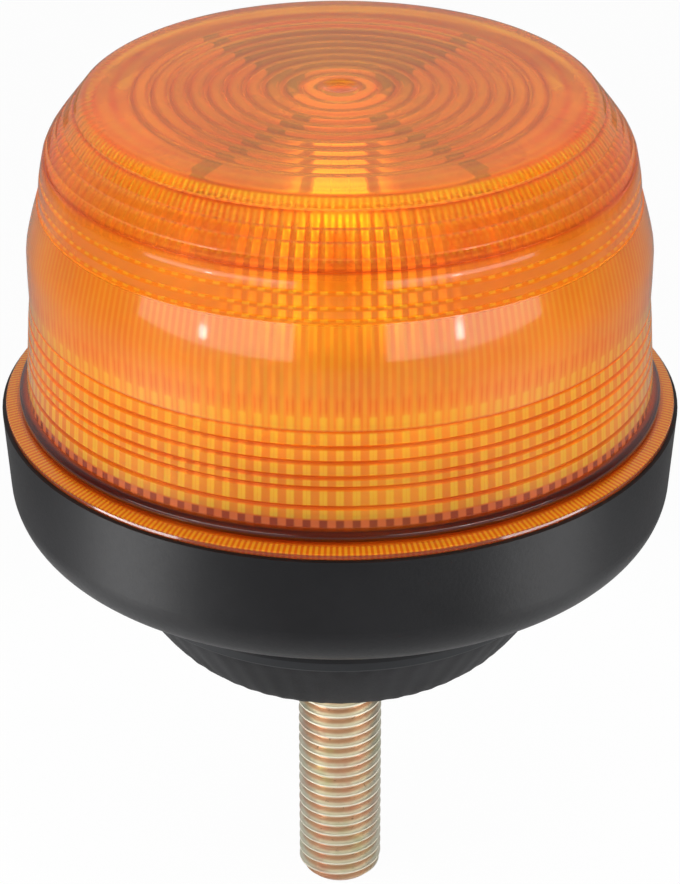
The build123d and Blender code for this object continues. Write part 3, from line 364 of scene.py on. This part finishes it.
class Finish(Nodes):
    """A procedural material under construction."""

    def __init__(self, name):
        self.material = bpy.data.materials.new(name)
        super().__init__(self.material, "ShaderNodeOutputMaterial")
        self.place = self.node("ShaderNodeTexCoord", {}, {}).outputs["Object"]

    def axes(self):
        """x, y, z of the Object coordinates as signals."""
        split = self.node("ShaderNodeSeparateXYZ", {}, {0: self.place})
        return [Signal(self, socket) for socket in split.outputs]

    def noise(self, scale, detail=3.0, roughness=0.55, stretch=(1, 1, 1)):
        """Noise from 0 to 1 on Object coordinates, scale in lumps per metre."""
        place = self.node("ShaderNodeMapping", {}, {"Vector": self.place, "Scale": stretch}).outputs[0]
        made = self.node("ShaderNodeTexNoise", {}, {"Vector": place, "Scale": scale, "Detail": detail,
                                                    "Roughness": roughness})
        return Signal(self, made.outputs[0])

    def mix(self, factor, first, second):
        """A colour between two colours."""
        made = self.node("ShaderNodeMix", {"data_type": "RGBA"}, {"Factor": factor, 6: first, 7: second})
        return made.outputs[2]

    def bump(self, height, depth, strength):
        """A normal bent by a height signal, depth in metres."""
        return self.node("ShaderNodeBump", {}, {"Height": height, "Distance": depth, "Strength": strength}).outputs[0]

    def principled(self, **sockets):
        """The surface shader, by socket names with underscores for spaces."""
        made = self.node("ShaderNodeBsdfPrincipled", {}, {k.replace("_", " "): v for k, v in sockets.items()})
        return made.outputs[0]

    def close(self, shader):
        super().close(shader)
        return self.material


def between(z, low, high, soft=0.2):
    """1 between two heights, with soft ends."""
    return z.step(low - soft, low + soft) * (1 - z.step(high - soft, high + soft))


def ring_lines(z, rings, width):
    """1 on the ring lines, 0 away from them."""
    near = (z - rings[0]).size()
    for ring in rings[1:]:
        near = near.math("MINIMUM", (z - ring).size())
    return 1 - near.step(width * 0.35, width)


def amber_finish():
    """Clear amber moulding with painted light: painted highlights in the cells between ring lines and flutes, in
    dashes near the crown and in fine upright lines on the belly, and painted shade in the rings, dimple and bead.

    A clear tinted skin is mixed with a cloudy one, which keeps the orange strong. Shadow rays pass and are tinted."""
    f = Finish("amber_lens")
    x, y, z = (axis / MM for axis in f.axes())
    radius = (x * x + y * y).sqrt()
    turn = y.angle_to(x) * settings().flute_count
    flute = turn.cos().step(-0.35, 0.45)
    lobes = flute * (1 - 0.30 * (turn * 4).cos().step(0.1, 1.0))
    twin = (turn * 2).cos().step(-0.5, 0.8)
    tick_reflections = (turn * 3).cos().step(-0.6, 0.6)
    flow, fine = f.noise(60, 2), f.noise(900, 2)
    patchy = 0.70 + 0.6 * f.noise(420, 3)
    deep, amber, highlight_amber = (tuple(shade) for shade in (settings().amber_deep, settings().amber, settings().amber_highlight))

    # Parts of the lens, 1 on each
    lower = between(z, LOWER_BAND_START, WAIST_HEIGHT - 0.2) * (1 - ring_lines(z, LOWER_RINGS, 0.55))
    # Painted highlights on the flutes just above the waist
    drop_highlights = between(z, 62.9, 65.0, 0.3)
    belly = between(z, WAIST_HEIGHT, BELLY_END, 0.3)
    upper = between(z, BELLY_END, NECK_HEIGHT - 0.3)
    crown = between(z, NECK_HEIGHT + 0.4, RIM_BAND[0])
    # Painted highlight round the band just under the top edge
    rim_highlight = between(z, *RIM_BAND) * radius.step(38.8, 39.6) * (1 - ring_lines(z, CROWN_RINGS[3:], 0.40))
    high = z.step(*TOP_FADE)
    top = (1 - radius.step(TOP_EDGE[0], 39.2)) * high
    # Painted highlights: light rings over the top's prism rings, and the whole top painted somewhat lighter
    arc_highlights = top * ((radius / PRISM_PITCH + 0.5).fract() - 0.5).size().step(0.04, 0.34)
    bead = z.step(47.5, 47.0) * radius.step(49.6, 50.0) * z.step(44.9, 45.3)
    flange = (1 - z.step(45.0, 45.2)) * radius.step(50.4, 50.8)
    flange_edge = (1 - z.step(44.5, 44.7)) * radius.step(53.1, 53.3)

    # Painted highlights: the lit prism cells, the dashes of the upper band and crown, the belly's upright lines and
    # the top are mixed towards light amber; patchy varies them at random
    painted_highlights = (lower * (0.30 + 0.70 * lobes) + rim_highlight * (0.22 + 0.78 * twin)
              + crown * (0.12 + 0.22 * flute + 0.55 * ring_lines(z, CROWN_RINGS[:3], 0.34) * twin)
              + upper * (0.30 + 0.65 * ring_lines(z, UPPER_RINGS, 0.35) * flute) + belly * (0.26 + 0.34 * twin)
              + drop_highlights * flute * 0.5) * patchy + top * 0.16 + arc_highlights * 0.34
    # Painted shade along the ring grooves, which a clear lens shows darker
    groove_shade = (ring_lines(z, LOWER_RINGS, 0.30) * between(z, LOWER_BAND_START, 63.0)
               + ring_lines(z, CROWN_RINGS[3:], 0.25))
    colour = f.mix(painted_highlights, f.mix(flow.step(0.3, 0.7), deep, amber), highlight_amber)
    for share, shade in ((groove_shade * 0.5, RING_PAINTED_SHADE),
                         # Painted shade on the neck line
                         (between(z, 86.2, 87.1, 0.12) * 0.65, RING_PAINTED_SHADE),
                         # Painted shade on the belly's flutes
                         (between(z, 65.4, 68.0, 0.8) * flute * (1 - twin * 0.6) * 0.6, deep),
                         # Painted shade in the dimple at the centre of the top
                         ((1 - radius.step(1.2, DIMPLE_RADIUS)) * high * 0.8, DIMPLE_PAINTED_SHADE),
                         # Painted light and shade: the lowest row of the wall in dark cells and light separators by
                         # flute
                         (between(z, 47.3, 48.5, 0.15) * 0.85, f.mix(flute, *FOOT_ROW_LIGHT_AND_SHADE)),
                         # Painted shade: the bead at the wall's foot painted nearly black, for amber seen edge-on;
                         # its cloudy share is lowered as well
                         (bead, BEAD_PAINTED_SHADE),
                         # Painted shade and reflection: the flange painted darker orange, with painted reflections of
                         # the prism pattern as light ticks
                         (flange, f.mix(tick_reflections * 0.8, FLANGE_PAINTED_SHADE, highlight_amber)),
                         # Painted shade on the rounded outer edge of the flange
                         (flange_edge * 0.9, FLANGE_EDGE_PAINTED_SHADE)):
        colour = f.mix(share, colour, shade)

    common = {"Base_Color": colour, "Coat_Weight": 0.8, "Coat_Roughness": 0.07, "Normal": f.bump(fine, 0.00002, 0.25)}
    frost = 0.20 + 0.10 * belly - 0.16 * top + 0.04 * fine
    clear = f.principled(Roughness=frost, IOR=1.49, Transmission_Weight=0.94, Specular_IOR_Level=0.2, **common)
    body = f.principled(Roughness=0.3, Specular_IOR_Level=0.1, **common)
    low = z.step(46.8, 47.4) * (1 - z.step(62.0, 70.0))
    cloud = 0.32 + 0.16 * low - 0.13 * z.step(84.0, 88.0) - 0.05 * top - 0.24 * bead + 0.08 * flange
    shade = f.node("ShaderNodeBsdfTransparent", {}, {"Color": SHADOW_TINT}).outputs[0]
    path = f.node("ShaderNodeLightPath", {}, {}).outputs["Is Shadow Ray"]
    return f.close(f.blend(path, f.blend(cloud, clear, body), shade))


def moulded_finish(name, colour, roughness, grain=2500, depth=0.00003, mottling=0.25, shine=0.5):
    """Moulded plastic: fine spark-eroded grain, slow mottling of shade and gloss."""
    f = Finish(name)
    slow = f.noise(45, 4)
    tiny = f.noise(grain, 3)
    light = tuple(min(1.0, c * (1 + mottling) + 0.002) for c in colour)
    dark = tuple(c * (1 - mottling) for c in colour)
    return f.close(f.principled(Base_Color=f.mix(slow.step(0.3, 0.7), dark, light),
                                Roughness=roughness - 0.06 + 0.12 * tiny, Specular_IOR_Level=shine,
                                Normal=f.bump(tiny, depth, 0.6)))


def metal_finish(name, colour, roughness, stretch=(1, 1, 1), scale=900, depth=0.00002):
    """Metal: tinted, with turning or rolling marks along the stretched noise."""
    f = Finish(name)
    marks = f.noise(scale, 4, 0.6, stretch)
    slow = f.noise(70, 3)
    dark = tuple(c * 0.78 for c in colour)
    return f.close(f.principled(Base_Color=f.mix(slow.step(0.3, 0.75), dark, colour), Metallic=1.0,
                                Roughness=roughness - 0.05 + 0.12 * marks, Normal=f.bump(marks, depth, 0.4)))


def zinc_finish():
    """Yellow-passivated zinc: crests painted cream as a highlight, valleys painted browner and darker as shade, pink
    and green flashes, dark spots in the valleys.
    """
    f = Finish("stud_zinc")
    x, y, z = f.axes()
    radius = (x * x + y * y).sqrt() / MM
    crest_highlight = radius.step(6.2, 6.7)
    rainbow = f.noise(180, 3)
    spots = f.noise(700, 4, 0.7)
    colour = f.mix(crest_highlight, tuple(settings().zinc_valley_shade), tuple(settings().zinc_crest_highlight))
    colour = f.mix(rainbow.step(0.50, 0.72) * 0.45, colour, (0.74, 0.38, 0.28))
    colour = f.mix((1 - rainbow).step(0.52, 0.74) * 0.40, colour, (0.58, 0.66, 0.34))
    colour = f.mix(spots.step(0.62, 0.72) * (1 - crest_highlight) * 0.7, colour, (0.06, 0.035, 0.02))
    return f.close(f.principled(Base_Color=colour, Metallic=0.8, Roughness=0.20 + 0.26 * spots,
                                Normal=f.bump(spots, 0.00006, 0.5)))


def reflector_finish():
    """Vacuum-metallised plastic with faint waviness."""
    f = Finish("cage_reflector")
    wave = f.noise(120, 2)
    haze = f.noise(1500, 3)
    x, y, z = f.axes()
    satin = 1 - (z / MM).step(49.8, 50.2)
    return f.close(f.principled(Base_Color=f.mix(wave, (0.80, 0.74, 0.66), (0.93, 0.90, 0.84)), Metallic=0.9,
                                Roughness=0.14 + 0.10 * haze + 0.35 * satin, Normal=f.bump(wave, 0.0002, 0.3)))


def phosphor_glow_finish():
    """Lamp chips: yellow phosphor behind a clear cap, with a painted glow of emission that lightens the yellow middle
    seen through the lens.
    """
    f = Finish("led_phosphor")
    grain = f.noise(3000, 3)
    colour = f.mix(grain.step(0.3, 0.7), (0.95, 0.62, 0.06), (1.0, 0.80, 0.18))
    return f.close(f.principled(Base_Color=colour, Roughness=0.3, Coat_Weight=0.8, Coat_Roughness=0.05,
                                Emission_Color=colour, Emission_Strength=2.2, Normal=f.bump(grain, 0.00002, 0.4)))


def board_finish(name, colour, copper):
    """Printed board: resist over copper tracks, drawn as a fine grid of steps."""
    f = Finish(name)
    x, y, z = f.axes()
    tracks = ((x * 2400).sin() * (y * 2100).sin()).step(0.05, 0.12)
    weave = f.noise(2600, 3)
    return f.close(f.principled(Base_Color=f.mix(tracks, colour, copper), Roughness=0.32 + 0.1 * weave,
                                Coat_Weight=0.4, Normal=f.bump(tracks, 0.00003, 0.6)))


def rubber_finish():
    """Moulded rubber: dark, dull, with a painted highlight on the lip."""
    f = Finish("foot_rubber")
    slow = f.noise(60, 4)
    tiny = f.noise(3200, 3)
    x, y, z = f.axes()
    # Painted highlight: the lip of the foot painted lighter
    lip = (z / MM).step(13.6, 14.2)
    colour = f.mix(slow.step(0.3, 0.7), (0.012, 0.012, 0.013), (0.022, 0.022, 0.024))
    colour = f.mix(lip * 0.7, colour, (0.036, 0.038, 0.041))
    return f.close(f.principled(Base_Color=colour, Roughness=0.55 + 0.15 * tiny, Specular_IOR_Level=0.2,
                                Normal=f.bump(tiny, 0.00004, 0.7)))


def finishes():
    """Every finish by its material slot, made once."""
    if not FINISHES:
        black = tuple(settings().black)
        FINISHES.update({
            "stud_zinc": zinc_finish(),
            "plain_steel": metal_finish("plain_steel", (0.78, 0.78, 0.78), 0.42),
            "foot_rubber": rubber_finish(),
            "base_plastic": moulded_finish("base_plastic", black, 0.42, 1800, 0.00003, 0.12, 0.18),
            "amber_lens": amber_finish(),
            "deck_steel": metal_finish("deck_steel", (0.80, 0.80, 0.80), 0.38, (1, 12, 1)),
            "post_aluminium": metal_finish("post_aluminium", (0.70, 0.70, 0.71), 0.32, (1, 1, 10)),
            "gear_acetal": moulded_finish("gear_acetal", (0.80, 0.78, 0.72), 0.45, mottling=0.05),
            "bearing_bronze": metal_finish("bearing_bronze", (0.60, 0.42, 0.20), 0.36),
            "cage_reflector": reflector_finish(),
            "dark_plastic": moulded_finish("dark_plastic", (0.032, 0.019, 0.018), 0.5, shine=0.2),
            "pale_plastic": moulded_finish("pale_plastic", (0.82, 0.74, 0.62), 0.4, mottling=0.05),
            "led_phosphor": phosphor_glow_finish(),
            "board_green": board_finish("board_green", (0.02, 0.10, 0.04), (0.05, 0.20, 0.08)),
            "lead_insulation": moulded_finish("lead_insulation", (0.45, 0.03, 0.025), 0.35),
        })
    return FINISHES


FINISHES = {}


def paint(piece, slot):
    piece.data.materials.clear()
    piece.data.materials.append(finishes()[slot])


def wall_line(stations, rings, spare_rows):
    """Radius and height rows up a band: smooth line minus a V groove d (1 - |z - ring| / w) at each ring."""
    radii, heights = np.array(stations).T
    low, high = heights[0], heights[-1]
    rows = [np.linspace(low, high, spare_rows)]
    for ring in rings:
        rows.append(ring + RING_WIDTH * np.array([-1.0, -0.45, 0.0, 0.45, 1.0]))
    z = np.unique(np.clip(np.concatenate(rows), low, high).round(4))
    r = smooth_line(list(zip(heights, radii)), z)
    for ring in rings:
        r = r - RING_DEPTH * np.clip(1 - np.abs(z - ring) / RING_WIDTH, 0, None)
    return r, z


def lens_rows(wall):
    """Rows of the whole lens section from the outer pole down to the skirt and up inside to the inner pole."""
    out_r, out_z, flute = [], [], []

    def add(r, z, wave=0.0):
        r, z = np.atleast_1d(r).astype(float), np.atleast_1d(z).astype(float)
        out_r.append(r)
        out_z.append(z)
        flute.append(np.full(len(r), wave))

    dimple = np.linspace(0.3, 1, 6)
    add(DIMPLE_RADIUS * dimple, TOP_HEIGHT - DIMPLE_DEPTH * (1 - dimple**2))
    sag = TOP_HEIGHT - TOP_EDGE[1]
    top = np.linspace(DIMPLE_RADIUS + 0.5, TOP_EDGE[0], 12)
    add(top, TOP_HEIGHT - sag * (top / TOP_EDGE[0]) ** 2)
    add(*np.array(TOP_ROUND).T)
    for stations, rings, spare in zip((CROWN_WALL, UPPER_WALL, MIDDLE_WALL, LOWER_WALL),
                                      (CROWN_RINGS, UPPER_RINGS, (), LOWER_RINGS), BAND_ROWS):
        r, z = wall_line(stations, rings, spare)
        add(r[::-1], z[::-1])
    turn = np.radians(np.linspace(80, -80, 9))
    add(BEAD_CENTRE[0] + BEAD_RADIUS * np.cos(turn), BEAD_CENTRE[1] + BEAD_RADIUS * np.sin(turn))
    add(*np.array(FLANGE).T)
    lug = len(np.concatenate(out_r))
    add([SKIRT_RADIUS] * 4, [LUG_TOP + 0.02, LUG_TOP, SKIRT_BOTTOM + 0.02, SKIRT_BOTTOM])
    add([SKIRT_INNER_RADIUS] * 2, [SKIRT_BOTTOM, SKIRT_INNER_TOP])
    inner_z = np.array(INNER_HEIGHTS)
    outer = smooth_line([(z, r) for r, z in (*LOWER_WALL, *MIDDLE_WALL[1:-1], INNER_CORNER, *UPPER_WALL[1:],
                                            *CROWN_WALL[1:])], inner_z)
    tilt = np.clip((inner_z - 86) / 6, 0, 1) * 0.35
    add(outer - wall * (1 + tilt), inner_z, 1.0)
    ceiling = TOP_EDGE[1] - wall
    add([38.6, 37.2], [ceiling - 0.55, ceiling + 0.02])
    for number in range(PRISM_COUNT, 0, -1):
        r = PRISM_PITCH * number
        z = ceiling + sag * (1 - r / TOP_EDGE[0])
        add([r + PRISM_WIDTH / 2, r, r - PRISM_WIDTH / 2], [z, z + PRISM_DEPTH, z])
    add([0.4], [TOP_HEIGHT - wall])
    return np.concatenate(out_r), np.concatenate(out_z), np.concatenate(flute), lug


class BEACON_OT_lens(bpy.types.Operator):
    """Turn the amber lens with its rings, flutes and prism rings"""

    bl_idname = "beacon.lens"
    bl_label = "Lens"

    def execute(self, context):
        s = settings()
        r, z, flute, lug = lens_rows(s.lens_wall / MM)
        rows = turned(r * MM, z * MM, s.lens_steps, flute * s.flute_depth, s.flute_count)
        pitch = 360 / LUG_COUNT
        angle = np.degrees(np.arctan2(rows[lug, :, 1], rows[lug, :, 0])) % pitch
        near = np.minimum(angle, pitch - angle) < LUG_HALF_ANGLE
        reach = np.where(near, LUG_RADIUS / SKIRT_RADIUS, 1.0)[:, None]
        for row in (lug + 1, lug + 2):
            rows[row, :, :2] *= reach
        lens = piece_from_rows("lens_shell", rows, poles=(True, True))
        paint(lens, "amber_lens")
        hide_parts("dome_lens")
        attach(lens, "dome")
        return {"FINISHED"}


class BEACON_OT_foot(bpy.types.Operator):
    """Turn the ribbed rubber foot"""

    bl_idname = "beacon.foot"
    bl_label = "Rubber foot"

    def execute(self, context):
        s = settings()
        r, z = np.array(FOOT_SECTION).T
        ribbed = ((z > RIB_HEIGHTS[0]) & (z < RIB_HEIGHTS[1])).astype(float)
        rows = turned(r * MM, z * MM, FOOT_STEPS, ribbed * s.foot_rib_height / 2, s.foot_ribs)
        foot = piece_from_rows("rubber_foot", rows, loop=True)
        paint(foot, "foot_rubber")
        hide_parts("mounting_pad")
        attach(foot, "root")
        return {"FINISHED"}


class BEACON_OT_finishes(bpy.types.Operator):
    """Give every machined and moulded piece its finish"""

    bl_idname = "beacon.finishes"
    bl_label = "Finishes"

    def execute(self, context):
        slots = {row["node"]: row["material_slot"] for row in frame["record"]["subparts"]}
        for name, node in frame["nodes"].items():
            paint(node, slots[name])
        return {"FINISHED"}


def lamp(name, place, aim, width, height, power, reflected):
    """A rectangular soft lamp at a place, its -Z towards the aim. A new lamp is hidden from the camera."""
    data = bpy.data.lights.new(name, "AREA")
    data.shape = "RECTANGLE"
    data.size, data.size_y = width, height
    data.energy = power
    made = bpy.data.objects.new(name, data)
    bpy.context.scene.collection.objects.link(made)
    made.location = place
    made.rotation_euler = (Vector(aim) - Vector(place)).to_track_quat("-Z", "Y").to_euler()
    made.visible_glossy = reflected


def studio_floor():
    """A plain disc, white where it is seen, matt grey for the light that it returns, paler close under the part."""
    ring = np.linspace(*FLOOR_RADII, 24)
    rows = turned(ring, np.full_like(ring, cad_low.z - FLOOR_GAP), 64)
    rows = np.concatenate([rows, rows[::-1] - np.array([0, 0, FLOOR_THICKNESS])])
    floor = piece_from_rows("studio_floor", rows, poles=(True, True))
    f = Finish("studio_white")
    x, y, z = f.axes()
    under = 1 - (x * x + y * y).sqrt().step(*FLOOR_UNDER_RADII)
    matt = f.principled(Base_Color=f.mix(under, f.mix(f.noise(30, 2), *FLOOR_GREYS), FLOOR_UNDER_GREY), Roughness=0.9)
    glow = f.node("ShaderNodeEmission", {}, {"Color": WHITE, "Strength": 1.0}).outputs[0]
    floor.data.materials.append(f.close(f.blend(f.seen() * FLOOR_GLOW, matt, glow)))


def backdrop():
    """White where it is seen. Its soft light grows from the front to the rear, which keeps reflections calm."""
    world = bpy.data.worlds.new("studio")
    bpy.context.scene.world = world
    sky = Nodes(world, "ShaderNodeOutputWorld")
    direction = sky.node("ShaderNodeTexCoord", {}, {}).outputs["Generated"]
    rear = Signal(sky, sky.node("ShaderNodeSeparateXYZ", {}, {0: direction}).outputs["Y"]).step(*SKY_FADE)
    soft, white = (sky.node("ShaderNodeBackground", {}, {"Color": colour, "Strength": strength}).outputs[0]
                   for colour, strength in ((SKY_COLOUR, SKY_FRONT + (SKY_REAR - SKY_FRONT) * rear), (WHITE, 1.0)))
    sky.close(sky.blend(sky.seen(), soft, white))


class BEACON_OT_stage(bpy.types.Operator):
    """Floor, backdrop, soft lamps and camera"""

    bl_idname = "beacon.stage"
    bl_label = "Stage"

    def execute(self, context):
        scene = context.scene
        scene.view_settings.view_transform = "Standard"
        studio_floor()
        backdrop()
        for row in LAMPS:
            lamp(*row)
        data = bpy.data.cameras.new("camera")
        data.lens = settings().camera_lens
        data.sensor_width = SENSOR_WIDTH
        data.clip_start, data.clip_end = CLIP_NEAR, CLIP_FAR
        camera = bpy.data.objects.new("camera", data)
        scene.collection.objects.link(camera)
        camera.location = CAMERA_PLACE
        camera.rotation_euler = (math.radians(CAMERA_TILT), 0, 0)
        scene.camera = camera
        return {"FINISHED"}


OPERATORS = (BEACON_OT_finishes, BEACON_OT_lens, BEACON_OT_foot, BEACON_OT_stage)


class BEACON_PT_panel(bpy.types.Panel):
    """Sizes, colours and makers of the beacon's looks"""

    bl_idname = "BEACON_PT_panel"
    bl_label = "Beacon"
    bl_space_type = "VIEW_3D"
    bl_region_type = "UI"
    bl_category = "Beacon"

    def draw(self, context):
        for key in BeaconSettings.__annotations__:
            self.layout.prop(context.scene.beacon, key)
        for operator in OPERATORS:
            self.layout.operator(operator.bl_idname)


CLASSES = (BeaconSettings, *OPERATORS, BEACON_PT_panel)


def register():
    for item in CLASSES:
        bpy.utils.register_class(item)
    bpy.types.Scene.beacon = PointerProperty(type=BeaconSettings)


def unregister():
    del bpy.types.Scene.beacon
    for item in reversed(CLASSES):
        bpy.utils.unregister_class(item)


def main():
    """Registers the classes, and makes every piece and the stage."""
    register()
    bpy.ops.beacon.finishes()
    bpy.ops.beacon.lens()
    bpy.ops.beacon.foot()
    bpy.ops.beacon.stage()


if __name__ == "__main__":
    main()
